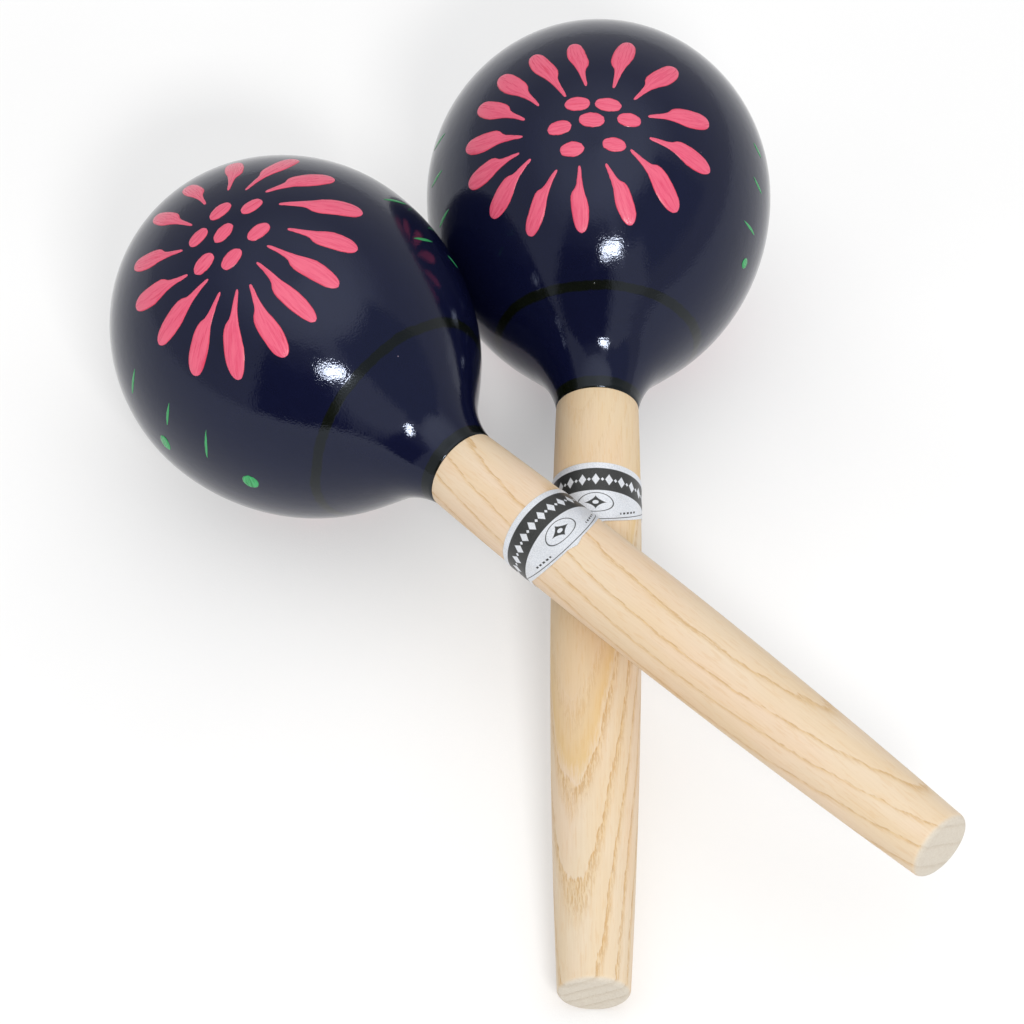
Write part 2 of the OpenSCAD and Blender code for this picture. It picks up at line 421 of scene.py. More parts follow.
def lacquer_material(name, ring, neck_band):
    """Navy lacquer with a brushed olive-black ring and a band at the neck, by distance down the head."""
    made, g, put, place = new_material(name)
    out = use_group(g, PAINT_SKIN, {"Place": place, "Color": (*NAVY, 1)})
    band_out = use_group(g, PAINT_SKIN, {"Place": place, "Color": (*OLIVE_BLACK, 1), "Clouding": 0.9,
                                         "Nib Color": (0.08, 0.08, 0.06, 1), "Roughness": 0.11})
    reach = g.mul(g.separate(place)[2], -1 / MM)
    sway = g.math("MULTIPLY_ADD", g.noise(place, 38.0, 2.0), 2.4, -1.2)
    ragged = g.math("MULTIPLY_ADD", g.noise(place, 500.0, 2.0), 0.5, -0.25)
    near = g.add(reach, g.add(sway, ragged))
    soft = 0.15
    painted = g.between(near, *ring, soft)
    end = g.step(g.add(reach, ragged), neck_band - soft, neck_band + soft)
    painted = g.math("MAXIMUM", painted, end)
    put("Base Color", g.mix(painted, out["Color"], band_out["Color"]))
    band_roughness = g.mul(band_out["Roughness"], painted)
    put("Roughness", g.math("MAXIMUM", out["Roughness"], band_roughness))
    height = g.add(out["Height"], g.mul(painted, 0.4))
    put("Normal", bump(g, height, 0.022 * MM))
    put("IOR", LACQUER_IOR)
    put("Specular Tint", BLUISH)
    return made


def brushed_material(name, thin, thick, dark, roughness=0.22):
    """Poster paint laid on with a brush: streaks along the stroke, thinner at its edge."""
    made, g, put, place = new_material(name)
    stroke = g.node("ShaderNodeAttribute", attribute_name="stroke").outputs["Vector"]
    along, across, _ = g.separate(stroke)
    number = g.node("ShaderNodeAttribute", attribute_name="number").outputs["Fac"]
    hairs = g.noise(g.combine(g.mul(along, 0.16), g.mul(across, 4.2),
                              g.mul(number, 7.3)), 1.0, 3.0, 0.65)
    blotch = g.noise(place, 420.0, 2.0)
    colour = g.mix(g.step(hairs, 0.36, 0.64), (*thin, 1), (*thick, 1))
    rim = g.step(g.math("ABSOLUTE", across), 0.84, 1.0)
    patch = g.mul(g.step(hairs, 0.42, 0.32), 0.55)
    patch = g.mul(patch, g.step(g.noise(place, 160.0, 1.0), 0.42, 0.6))
    colour = g.mix(g.math("MAXIMUM", g.mul(rim, 0.8), patch), colour, (*dark, 1))
    put("Base Color", colour)
    put("Roughness", g.step(hairs, 0.3, 0.7, roughness, roughness + 0.16))
    put("Normal", bump(g, g.add(hairs, g.mul(blotch, 0.5)), 0.09 * MM))
    put("IOR", LACQUER_IOR)
    return made


def label_material(name, maraca):
    """Silvered paper with a printed charcoal band of small ornaments, an oval and a fine border."""
    made, g, put, place = new_material(name)
    x, y, z = g.separate(place)
    angle = g.sub(g.math("ARCTAN2", x, g.mul(y, -1.0)), maraca.label_turn)
    angle = g.math("WRAP", angle, math.pi, -math.pi)
    round_mm = g.mul(angle, maraca.handle_at(maraca.label_top) / MM)
    down_mm = g.math("MULTIPLY_ADD", z, -1 / MM, -maraca.label_top / MM)

    def diamonds(across, centre, wide, high):
        """A row of diamonds round the band, centred on the front."""
        offset = g.sub(g.math("FLOORED_MODULO", g.add(across, PITCH / 2), PITCH), PITCH / 2)
        size = g.add(g.math("DIVIDE", g.math("ABSOLUTE", offset), wide),
                      g.math("DIVIDE", g.math("ABSOLUTE", g.sub(down_mm, centre)), high))
        return g.step(size, 0.9, 1.1, 1.0, 0.0)

    def oval(wide, high):
        """Distance from the oval's centre as a share of its half sizes."""
        u = g.math("DIVIDE", round_mm, wide)
        v = g.math("DIVIDE", g.sub(down_mm, OVAL_AT), high)
        return g.math("SQRT", g.add(g.mul(u, u), g.mul(v, v)))

    band = g.between(down_mm, BAND_FROM, BAND_TO, PRINT_BLUR)
    middle = (BAND_FROM + BAND_TO) / 2
    ornament = g.math("MAXIMUM", diamonds(round_mm, middle, 0.95, 1.55),
                      diamonds(g.add(round_mm, PITCH / 2), middle, 0.42, 0.5))
    inside = g.sub(band, g.mul(band, ornament))
    ring = g.between(oval(4.4, 2.75), 0.93, 1.0, 0.02)

    def arm(distance, reach):
        return g.math("POWER", g.math("DIVIDE", g.math("ABSOLUTE", distance), reach), 0.7)

    star = g.add(arm(round_mm, 2.9), arm(g.sub(down_mm, OVAL_AT), 2.0))
    star = g.sub(g.step(star, 0.92, 1.02, 1.0, 0.0), g.step(oval(0.75, 0.55), 0.9, 1.05, 1.0, 0.0))
    edge = g.math("MULTIPLY_ADD", g.math("MAXIMUM", g.math("COSINE", angle), 0.0),
                  (maraca.label_front - maraca.label_back) / MM, maraca.label_back / MM)
    border = g.between(g.sub(edge, down_mm), 1.2, 1.42, PRINT_BLUR)
    dots = g.mul(g.between(g.sub(edge, down_mm), 2.2, 2.75, PRINT_BLUR),
                 g.between(g.math("FLOORED_MODULO", round_mm, 1.1), 0.2, 0.85, 0.08))
    beside = g.math("ABSOLUTE", round_mm)
    dots = g.mul(dots, g.between(beside, 6.0, 11.0, 0.1))
    fleck = g.noise(place, 3800.0, 3.0, 0.7)
    soil = g.noise(place, 300.0, 3.0)
    silver = g.mix(g.step(fleck, 0.35, 0.65), (0.6, 0.63, 0.68, 1), (0.78, 0.8, 0.84, 1))
    silver = g.mix(g.step(soil, 0.5, 0.8, 0.0, 0.25), silver, (0.55, 0.52, 0.46, 1))
    ink = g.mix(g.step(fleck, 0.4, 0.6), (0.02, 0.022, 0.022, 1), (0.035, 0.036, 0.036, 1))
    marks = g.math("MAXIMUM", g.math("MAXIMUM", inside, ring),
                   g.math("MAXIMUM", star, g.math("MAXIMUM", border, dots)))
    put("Base Color", g.mix(marks, silver, ink))
    put("Roughness", g.step(fleck, 0.3, 0.7, 0.3, 0.45))
    put("Metallic", g.mul(g.sub(1.0, marks), 0.25))
    put("Normal", bump(g, fleck, 0.02 * MM))
    return made


def seed_material():
    made, g, put, place = new_material("dry_seed")
    mottle = g.noise(place, 900.0, 4.0, 0.65)
    spots = g.noise(place, 2600.0, 2.0)
    colour = g.mix(g.step(mottle, 0.35, 0.65), (0.16, 0.075, 0.03, 1), (0.42, 0.24, 0.11, 1))
    colour = g.mix(g.step(spots, 0.58, 0.7, 0.0, 0.7), colour, (0.08, 0.035, 0.015, 1))
    put("Base Color", colour)
    put("Roughness", g.step(mottle, 0.3, 0.7, 0.35, 0.6))
    put("Normal", bump(g, mottle, 0.15 * MM))
    return made


# Printed parts of the label, in millimetres below its top edge
BAND_FROM, BAND_TO = 1.6, 7.9
OVAL_AT = 11.3
# Spacing of its diamonds and softness of its printed edges, in millimetres
PITCH = 3.2
PRINT_BLUR = 0.06

NAVY = (0.0036, 0.0046, 0.021)
OLIVE_BLACK = (0.0035, 0.0045, 0.002)
LACQUER_IOR = 1.43
BLUISH = (0.72, 0.8, 1.0, 1)
# The ring painted round each head and the band at its neck, in millimetres below the widest circle
RINGS = {"lower": (42.0, 43.7), "upper": (39.3, 41.1)}
NECK_BAND = 60.0
LACQUER = {name: lacquer_material(f"{name}_navy_lacquer", RINGS[name], NECK_BAND) for name in MARACAS}
PINK_PAINT = brushed_material("coral_pink_paint", thin=(0.68, 0.085, 0.165), thick=(0.74, 0.12, 0.2),
                              dark=(0.56, 0.022, 0.055))
GREEN_PAINT = brushed_material("leaf_green_paint", thin=(0.015, 0.26, 0.07), thick=(0.04, 0.4, 0.13),
                               dark=(0.01, 0.12, 0.04))
SEED = seed_material()
HANDLE_WOOD = {
    "lower": wood_material("lower_ash", pair["lower"], **{
        "Ring Turn": -30 * DEG, "Lean": 0.138, "Bow": -0.6, "Bow At": 150 * MM, "Ring Gap": 3.6 * MM,
        "Pith Distance": 99.3 * MM, "Ring Shift": -0.17, "Warm Before": 31.0, "Feather": 0.5,
        "Pale": (0.72, 0.6, 0.448, 1)}),
    "upper": wood_material("upper_ash", pair["upper"], **{
        "Ring Turn": 35 * DEG, "Lean": 0.028, "Bow": 1.22, "Bow At": 150 * MM, "Ring Gap": 5.3 * MM,
        "Pith Distance": 115.8 * MM, "Ring Shift": -0.04, "Feather": 0.27,
        "Pale": (0.745, 0.605, 0.445, 1)}),
}
PAPER = {name: label_material(f"{name}_printed_paper", pair[name]) for name in MARACAS}


# ---------------------------------------------------------------- geometry trees

def geometry_group(name, inputs):
    return group_tree(name, "GeometryNodeTree", {"Geometry": ("NodeSocketGeometry", None), **inputs},
                      {"Geometry": "NodeSocketGeometry"})


def finish_geometry(g, given, result, geometry):
    plain = g.node("GeometryNodeRealizeInstances", {"Geometry": geometry}).outputs[0]
    g.feed(result["Geometry"], g.node(
        "GeometryNodeSetMaterial", {"Geometry": plain, "Material": given["Material"]}).outputs[0])


def turned_tree():
    """Turns an outline, given as points (radius, 0, height), round the Z axis."""
    tree, g, given, result = geometry_group("turned_piece", {
        "Segments": ("NodeSocketInt", 144), "Material": (MATERIAL, None)})
    count = g.node("GeometryNodeAttributeDomainSize", {"Geometry": given["Geometry"]}).outputs["Point Count"]
    grid = g.node("GeometryNodeMeshGrid", {
        "Size X": 1.0, "Size Y": 1.0, "Vertices X": g.add(given["Segments"], 1.0),
        "Vertices Y": count}).outputs[0]
    x, y, _ = g.separate(g.position())
    angle = g.mul(g.add(x, 0.5), math.tau)
    row = g.math("ROUND", g.mul(g.add(y, 0.5), g.sub(count, 1.0)))
    point = g.node("GeometryNodeSampleIndex", {
        "Geometry": given["Geometry"], "Value": g.position(), "Index": row},
        data_type="FLOAT_VECTOR", domain="POINT").outputs[0]
    radius, _, height = g.separate(point)
    spun = g.node("GeometryNodeSetPosition", {"Geometry": grid, "Position": g.combine(
        g.mul(radius, g.math("COSINE", angle)), g.mul(radius, g.math("SINE", angle)),
        height)}).outputs[0]
    merged = g.node("GeometryNodeMergeByDistance", {"Geometry": spun, "Distance": 1e-6}).outputs[0]
    finish_geometry(g, given, result, merged)
    return tree


def painted_marks_tree():
    """Lays copies of a brush mark on a head. Each point of the flat layout has a place in metres,
    x round the head from straight up and y towards the crown, and the attributes aim and size."""
    tree, g, given, result = geometry_group("painted_marks", {
        "Mark": ("NodeSocketObject", None), "Outline": ("NodeSocketObject", None),
        "Widest At": (FLOAT, 0.0), "Widest Radius": (FLOAT, 0.0435),
        "Sway": (FLOAT, 0.0006), "Ragged": (FLOAT, 0.0002),
        "Seed": (FLOAT, 0.0), "Material": (MATERIAL, None)})

    def named(name, kind):
        return g.node("GeometryNodeInputNamedAttribute", {"Name": name}, data_type=kind).outputs[0]

    mark = g.node("GeometryNodeObjectInfo", {"Object": given["Mark"]}).outputs["Geometry"]
    turn = g.node("FunctionNodeEulerToRotation", {0: g.combine(0.0, 0.0, named("aim", "FLOAT"))}).outputs[0]
    laid = g.node("GeometryNodeInstanceOnPoints", {
        "Points": given["Geometry"], "Instance": mark, "Rotation": turn,
        "Scale": named("size", "FLOAT_VECTOR")}).outputs[0]
    flat = g.node("GeometryNodeRealizeInstances", {"Geometry": laid}).outputs[0]
    place = g.position()

    def shaken(scale, amount):
        """A sideways shift that changes over the layout at a scale in lumps per metre."""
        spot = g.vector("ADD", place, g.combine(0.0, 0.0, g.mul(given["Seed"], 0.37)))
        noise = g.node("ShaderNodeTexNoise", {"Vector": spot, "Scale": scale, "Detail": 1.0})
        shift = g.vector("SUBTRACT", noise.outputs["Color"], (0.5, 0.5, 0.5))
        return g.vector("MULTIPLY", shift, g.combine(amount, amount, 0.0))

    shift = g.vector("ADD", shaken(75.0, given["Sway"]), shaken(900.0, given["Ragged"]))
    moved = g.vector("ADD", place, shift)
    x, y, lift = g.separate(moved)
    line = g.node("GeometryNodeObjectInfo", {"Object": given["Outline"]}).outputs["Geometry"]
    line = g.node("GeometryNodeMeshToCurve", {"Mesh": line}).outputs[0]
    sample = g.node("GeometryNodeSampleCurve", {
        "Curves": line, "Length": g.sub(given["Widest At"], y)}, mode="LENGTH").outputs
    radius, _, height = g.separate(sample["Position"])
    run_out, _, run_down = g.separate(sample["Tangent"])
    radius = g.sub(radius, g.mul(run_down, lift))
    height = g.add(height, g.mul(run_out, lift))
    angle = g.math("DIVIDE", x, given["Widest Radius"])
    wrapped = g.node("GeometryNodeSetPosition", {"Geometry": flat, "Position": g.combine(
        g.mul(radius, g.math("SINE", angle)),
        g.mul(radius, g.mul(g.math("COSINE", angle), -1.0)), height)}).outputs[0]
    mirrored = g.math("LESS_THAN", g.separate(named("size", "FLOAT_VECTOR"))[1], 0.0)
    turned = g.node("GeometryNodeFlipFaces", {"Mesh": wrapped, "Selection": mirrored}).outputs[0]
    finish_geometry(g, given, result, turned)
    return tree


def seeds_tree():
    """A dry seed at each point, each turned, sized and dented in its own way."""
    tree, g, given, result = geometry_group("dry_seeds", {
        "Diameter": (FLOAT, 0.005), "Seed": ("NodeSocketInt", 1),
        "Material": (MATERIAL, None)})
    ball = g.node("GeometryNodeMeshIcoSphere", {
        "Radius": g.mul(given["Diameter"], 0.5), "Subdivisions": 4}).outputs[0]

    def drawn(low, high):
        return g.node("FunctionNodeRandomValue", {0: low, 1: high, "Seed": given["Seed"]},
                      data_type="FLOAT_VECTOR").outputs[0]

    turn = drawn((0.0, 0.0, 0.0), (math.tau,) * 3)
    size = drawn((0.84, 0.72, 0.6), (0.94, 0.84, 0.72))
    laid = g.node("GeometryNodeInstanceOnPoints", {
        "Points": given["Geometry"], "Instance": ball, "Rotation": turn, "Scale": size}).outputs[0]
    flat = g.node("GeometryNodeRealizeInstances", {"Geometry": laid}).outputs[0]
    place = g.position()
    dent = g.mul(g.sub(g.noise(place, 420.0, 2.0), 0.5), 0.0009)
    dented = g.node("GeometryNodeSetPosition", {"Geometry": flat, "Offset": g.vector(
        "MULTIPLY", g.node("GeometryNodeInputNormal").outputs[0], g.combine(dent, dent, dent))}).outputs[0]
    finish_geometry(g, given, result, dented)
    return tree


TURNED = turned_tree()
PAINTED_MARKS = painted_marks_tree()
SEEDS = seeds_tree()


# ---------------------------------------------------------------- making pieces

def mesh_object(name, points, edges=(), faces=()):
    mesh = bpy.data.meshes.new(name)
    mesh.from_pydata([tuple(p) for p in points], list(edges), list(faces))
    made = bpy.data.objects.new(name, mesh)
    show(made)
    return made


def grow(source, tree, **values):
    """Runs a geometry tree on a source object and returns the plain mesh that it makes."""
    modifier = source.modifiers.new(tree.name, "NODES")
    modifier.node_group = tree
    for item in tree.interface.items_tree:
        if item.in_out == "INPUT" and item.name.replace(" ", "_").lower() in values:
            modifier[item.identifier] = values[item.name.replace(" ", "_").lower()]
    depsgraph = bpy.context.evaluated_depsgraph_get()
    mesh = bpy.data.meshes.new_from_object(source.evaluated_get(depsgraph), depsgraph=depsgraph)
    source.modifiers.remove(modifier)
    bpy.data.objects.remove(source)
    return mesh


def place_piece(name, mesh, maraca, body=None, replaces=(), sharp=35 * DEG):
    """Gives a mesh its own axes as an attribute, lays it with its maraca and lets it ride."""
    spots = np.empty(len(mesh.vertices) * 3, np.float32)
    mesh.vertices.foreach_get("co", spots)
    mesh.attributes.new("place", "FLOAT_VECTOR", "POINT").data.foreach_set("vector", spots)
    mesh.transform(maraca.place)
    mesh.shade_smooth()
    mesh.set_sharp_from_angle(angle=sharp)
    mesh.name = name
    piece = bpy.data.objects.new(name, mesh)
    show(piece)
    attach(piece, body or maraca.body)
    if replaces:
        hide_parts(*replaces)
    return piece


def turn_piece(name, maraca, outline, material, replaces=(), segments=144):
    """Turns a closed outline of (radius, height) points into a piece."""
    points = np.array(outline, float)
    around = np.roll(points, -1, 0)
    if (points[:, 0] * around[:, 1] - around[:, 0] * points[:, 1]).sum() < 0:
        points = points[::-1]
    if points[0, 0] or points[-1, 0]:
        points = np.concatenate([points, points[:1]])
    source = mesh_object(name + "_outline", [(r, 0, h) for r, h in points])
    mesh = grow(source, TURNED, segments=segments, material=material)
    return place_piece(name, mesh, maraca, replaces=replaces)


def inward(line, depth):
    """The line moved inwards, at right angles to itself."""
    way = np.gradient(line, axis=0)
    way /= np.hypot(*way.T)[:, None]
    moved = line + depth * np.stack([way[:, 1], -way[:, 0]], 1)
    moved[0, 0] = 0
    return moved


def cut_line(line, top, bottom):
    """The part of a line of (radius, height) points between two heights, with both ends on it."""
    def at(height):
        return (np.interp(-height, -line[:, 1], line[:, 0]), height)
    inner = line[(line[:, 1] < top - 1e-6) & (line[:, 1] > bottom + 1e-6)]
    return np.array([at(top), *inner, at(bottom)])


# ---------------------------------------------------------------- the maracas' own pieces

WALL = 4 * MM
LAP = 3 * MM
SEAM = 0.03 * MM
EASE = 0.35 * MM
TENON_R = 6 * MM
SOCKET_R = 6.05 * MM
# Height of the end of the tenon and of its socket, from the widest circle
TENON_TOP = -45.7 * MM


def crown_shell(m):
    outer = cut_line(m.head_line, m.head_line[0, 1], 0)
    outer = np.insert(outer, -1, (m.head_r, SEAM), axis=0)
    inner = cut_line(inward(m.head_line, WALL), m.head_line[0, 1] - WALL, LAP)[::3]
    lap_r = m.head_r - WALL / 2
    outline = [*outer, (lap_r, 0), (lap_r, LAP), *inner[::-1]]
    return turn_piece(f"{m.name}_crown", m, outline, LACQUER[m.name],
                      [f"{m.name}_crown_shell"])


def neck_shell(m):
    """Tapering half of the head. The paint stands a little proud at the end of the neck."""
    outer = cut_line(m.head_line, 0, EASE - m.joint)
    outer = np.insert(outer, 1, (m.head_r, -SEAM), axis=0)
    neck_r = m.head_at(m.joint)
    rim = [(neck_r - EASE * (1 - math.cos(a)), -m.joint + EASE * (1 - math.sin(a)))
           for a in np.linspace(0, math.pi / 2, 5)[1:]]
    inner = cut_line(inward(m.head_line, WALL), -SEAM, TENON_TOP)[::3]
    lap_r = m.head_r - WALL / 2
    outline = [*outer, *rim, (SOCKET_R, -m.joint), (SOCKET_R, TENON_TOP), *inner[::-1],
               (m.head_r - WALL, LAP), (lap_r, LAP), (lap_r, 0)]
    return turn_piece(f"{m.name}_neck", m, outline, LACQUER[m.name], [f"{m.name}_neck_shell"])


def handle(m):
    shoulder_r = m.handle_at(m.joint)
    ease = [(shoulder_r - EASE * (1 - math.sin(a)), -m.joint - EASE * (1 - math.cos(a)))
            for a in np.linspace(0, math.pi / 2, 5)]
    flank = m.handle_line[m.handle_line[:, 1] < -m.joint - EASE]
    outline = [(0, TENON_TOP), (TENON_R, TENON_TOP), (TENON_R, -m.joint), *ease, *flank,
               *[(flank[-1, 0] * share, flank[-1, 1]) for share in (0.8, 0.6, 0.4, 0.2, 0)]]
    return turn_piece(f"{m.name}_grip", m, outline, HANDLE_WOOD[m.name], [f"{m.name}_handle"])


def paper_label(m):
    """A wrapped paper label with a tongue at its front. One end is glued over the other behind."""
    thick, glue = 0.2 * MM, 0.05 * MM
    overlap = 0.22  # turn of the handle that is covered twice
    turns = np.linspace(-math.pi, math.pi + overlap, 161)
    shares = np.linspace(0, 1, 13)
    tongue_angle, point = 12 * DEG, 0.8 * MM
    sheets = []
    for lift in (glue, glue + thick):
        sheet = []
        for turn in turns:
            over = 1.1 * thick * (1 + math.cos(min(max((math.pi - turn) / 0.2, 0), 1) * math.pi)) / 2
            length = (m.label_back + (m.label_front - point - m.label_back) * max(math.cos(turn), 0)
                      + point * max(0, 1 - abs(turn) / tongue_angle))
            for share in shares:
                reach = m.label_top + share * length
                radius = m.handle_at(reach) + lift + over
                angle = turn + m.label_turn
                sheet.append((radius * math.sin(angle), -radius * math.cos(angle), -reach))
        sheets.append(sheet)
    rows, columns = len(turns), len(shares)
    count = rows * columns

    def corner(side, row, column):
        return side * count + row * columns + column

    faces = []
    for row in range(rows - 1):
        for column in range(columns - 1):
            quad = [(row, column), (row, column + 1), (row + 1, column + 1), (row + 1, column)]
            faces.append([corner(1, *spot) for spot in quad])
            faces.append([corner(0, *spot) for spot in reversed(quad)])
    rim = [(row, 0) for row in range(rows)]
    rim += [(rows - 1, column) for column in range(1, columns)]
    rim += [(row, columns - 1) for row in range(rows - 2, -1, -1)]
    rim += [(0, column) for column in range(columns - 2, 0, -1)]
    for a, b in zip(rim, rim[1:] + rim[:1]):
        faces.append([corner(1, *a), corner(1, *b), corner(0, *b), corner(0, *a)])
    source = mesh_object(f"{m.name}_sheet", sheets[0] + sheets[1], faces=faces)
    mesh = source.data
    bpy.data.objects.remove(source)
    mesh.materials.append(PAPER[m.name])
    place_piece(f"{m.name}_paper_label", mesh, m, replaces=[f"{m.name}_label"], sharp=50 * DEG)


# ---------------------------------------------------------------- brush marks

def brush_mark(name, length, stations, rise):
    """A closed pad of paint lying along X. Stations are (share along, left half width, right half width)."""
    at, left, right = np.array(stations).T
    shares = np.concatenate([[0], (1 - np.cos(np.linspace(0, math.pi, 27)[1:-1])) / 2, [1]])
    lefts, rights = np.interp(shares, at, left), np.interp(shares, at, right)
    across = np.array([-1, -0.94, -0.75, -0.4, 0, 0.4, 0.75, 0.94, 1, 0])
    sides = len(across)  # the last one is the middle of the underside
    over = np.append((1 - across[:-1] ** 4) ** 0.5, 0) * rise
    under = np.where(np.arange(sides) == sides - 1, -rise * 0.4, 0)
    points, strokes, faces = [], [], []
    for share, l, r in zip(shares[1:-1], lefts[1:-1], rights[1:-1]):
        end_fade = min(1, (1 - abs(2 * share - 1)) * 6) ** 0.5
        for side, high, low in zip(across, over, under):
            wide = l if side > 0 else r
            points.append((share * length, side * wide, high * end_fade + low))
            strokes.append((share * length / MM, side, 0))
    rings = len(shares) - 2
    points += [(0, 0, 0), (length, 0, 0)]
    strokes += [(0, 0, 0), (length / MM, 0, 0)]
    for ring in range(rings - 1):
        for i in range(sides):
            a, b = ring * sides + i, ring * sides + (i + 1) % sides
            faces.append((a, a + sides, b + sides, b))
    last = (rings - 1) * sides
    for i in range(sides):
        j = (i + 1) % sides
        faces.append((rings * sides, i, j))
        faces.append((rings * sides + 1, last + j, last + i))
    made = mesh_object(name, points, faces=faces)
    attribute = made.data.attributes.new("stroke", "FLOAT_VECTOR", "POINT")
    attribute.data.foreach_set("vector", np.array(strokes, np.float32).ravel())
    return made


PETAL_LENGTH, DOT_LENGTH, LEAF_LENGTH = 18 * MM, 6.4 * MM, 9 * MM

# Brush marks: share along, half width on the left and on the right in millimetres
PETAL = [(0, 0.2, 0.2), (0.03, 0.42, 0.4), (0.16, 0.64, 0.66), (0.27, 0.9, 0.95), (0.33, 1.1, 1.35),
         (0.37, 1.25, 2.1), (0.42, 1.5, 2.6), (0.52, 2.15, 2.8), (0.63, 2.6, 2.75), (0.75, 2.6, 2.6),
         (0.86, 2.3, 2.3),
         (0.93, 1.85, 1.8), (0.97, 1.3, 1.2), (0.99, 0.8, 0.7), (1, 0.1, 0.1)]
DOT = [(t, 1.9 * (1 - (2 * t - 1) ** 2) ** 0.5 + 0.05, 1.85 * (1 - (2 * t - 1) ** 2) ** 0.45 + 0.05)
       for t in np.linspace(0, 1, 25)]
LEAF = [(0, 0.05, 0.05), (0.2, 0.35, 0.32), (0.45, 0.52, 0.55), (0.7, 0.5, 0.48), (0.9, 0.28, 0.26),
        (1, 0.05, 0.05)]

# A flower's petals: way of the outer end in degrees (0 round the head, 90 to the crown), distance of
# the inner and of the outer end from the flower's centre in millimetres, lean of the inner end
FLOWERS = {
    "lower": {"reach": 7.0, "turn": -5, "shoulder": 0.0, "petals": [
        (11, 16, 33.5, 0), (41, 14, 32, -10), (68, 12.5, 31, -12), (98, 11, 28, -10), (121, 9.5, 29.5, 0),
        (140, 13.5, 32, 11), (157, 16, 32.5, 11), (176, 16.5, 34.5, 8), (193, 18.5, 36, 4),
        (212, 16.5, 35, -4),
        (234, 14, 32.5, 3), (266, 11.5, 28, -5), (298, 12, 29, -2), (324, 13.5, 33.5, 6), (349, 16.5, 35, 1)],
        "dots": [(1.5, 1), (-2, 5.5), (5.5, 5.5), (11, 1.5), (-6.5, -1), (-3.5, -7), (7.5, -5.5)]},
    "upper": {"reach": -4.0, "turn": -18, "shoulder": 0.9, "petals": [
        (19, 15.5, 36.5, 13), (46, 16.5, 35, 3), (75, 14.5, 31, 0), (103, 12, 31, 2), (135, 12.5, 31.5, 6),
        (157, 13.5, 32, 16), (181, 12, 32, 18), (202, 15, 36, 14), (221, 15, 37, 12), (244, 15, 35, 2),
        (266, 11, 32, 0), (288, 10.5, 31, 5), (311, 14.5, 32.5, 8), (333, 15, 34.5, 19), (357, 16, 33.5, 16)],
        "dots": [(0, 1.5), (4, 8), (10, 2.5), (5.5, -5), (-4.5, 7), (-9, 0), (-4, -5.5)]},
}

# Green brush lines from one end to the other: turn round the head in degrees, millimetres towards the handle
LEAVES = {
    "lower": [(-65, 16, -75.5, 16.9), (-64, -6.3, -75, -6.3), (-65, 4.6, -76, 4.6), (63, 19.1, 73.5, 19),
              (63, 6.6, 71, 7.9), (62.5, -3.6, 69, -2)],
    "upper": [(-75.5, -9.7, -87, -10.1), (-76.5, 4.3, -86.5, 4.1), (-78.5, 16.2, -91.5, 16.4),
              (37.5, 7.7, 51.5, 7.5), (37.5, 21.1, 49.5, 21.1), (58.5, 23.1, 66, 24.5)],
}
# Green dots: turn round the head, millimetres towards the handle, size round the head and along it
GREEN_DOTS = {"lower": [(75.5, 26.7, 0.5, 0.7)], "upper": [(-96.5, 2.7, 0.75, 0.9), (-97.5, 28.0, 0.85, 1.1)]}


def arc_at(m, reach):
    """Length along the head's outline from the pole down to a distance below the widest circle."""
    steps = np.hypot(*np.diff(m.head_line, axis=0).T)
    lengths = np.concatenate([[0], np.cumsum(steps)])
    return float(np.interp(reach, -m.head_line[:, 1], lengths))


def paint_marks(m, name, mark, layout, material, seed, sway, ragged):
    """Lays a mark at each (x, y, aim, length scale, width scale) of a flat layout round the head."""
    source = mesh_object(name + "_layout", [(x, y, 0) for x, y, *_ in layout])
    attributes = source.data.attributes
    attributes.new("aim", "FLOAT", "POINT").data.foreach_set("value", [spot[2] for spot in layout])
    attributes.new("size", "FLOAT_VECTOR", "POINT").data.foreach_set(
        "vector", [value for spot in layout for value in (spot[3], spot[4], 1)])
    numbers = [float(i) for i in range(len(layout))]
    attributes.new("number", "FLOAT", "POINT").data.foreach_set("value", numbers)
    line = mesh_object(name + "_line", [(r, 0, h) for r, h in m.head_line],
                       [(i, i + 1) for i in range(len(m.head_line) - 1)])
    mesh = grow(source, PAINTED_MARKS, mark=mark, outline=line, widest_at=arc_at(m, 0),
                widest_radius=m.head_r, sway=sway, ragged=ragged, seed=seed, material=material)
    bpy.data.objects.remove(line)
    return place_piece(name, mesh, m, sharp=80 * DEG)


def flower_layout(m, turn, mirror):
    """Petals and dots of one flower, as flat layouts."""
    flower = FLOWERS[m.name]
    middle = np.array([turn * DEG * m.head_r, arc_at(m, 0) - arc_at(m, flower["reach"] * MM)])
    petals, dots = [], []
    for aim, start, end, lean in flower["petals"]:
        inner, outer = (np.array([mirror * math.cos(a * DEG), math.sin(a * DEG)]) * r * MM
                        for a, r in ((aim + lean, start), (aim, end)))
        way = outer - inner
        length = float(np.hypot(*way))
        wide = 0.92 + 0.14 * random.random()
        hand = mirror * (-1 if math.cos(aim * DEG) > flower["shoulder"] else 1)
        petals.append((*(middle + inner), math.atan2(way[1], way[0]), length / PETAL_LENGTH, wide * hand))
    for x, y in flower["dots"]:
        spot = middle + np.array([mirror * x - 3.2, y]) * MM
        aim = random.uniform(-0.12, 0.12)
        long = 0.95 + 0.1 * random.random()
        wide = 0.95 + 0.12 * random.random()
        dots.append((*spot, aim, long, wide))
    return petals, dots


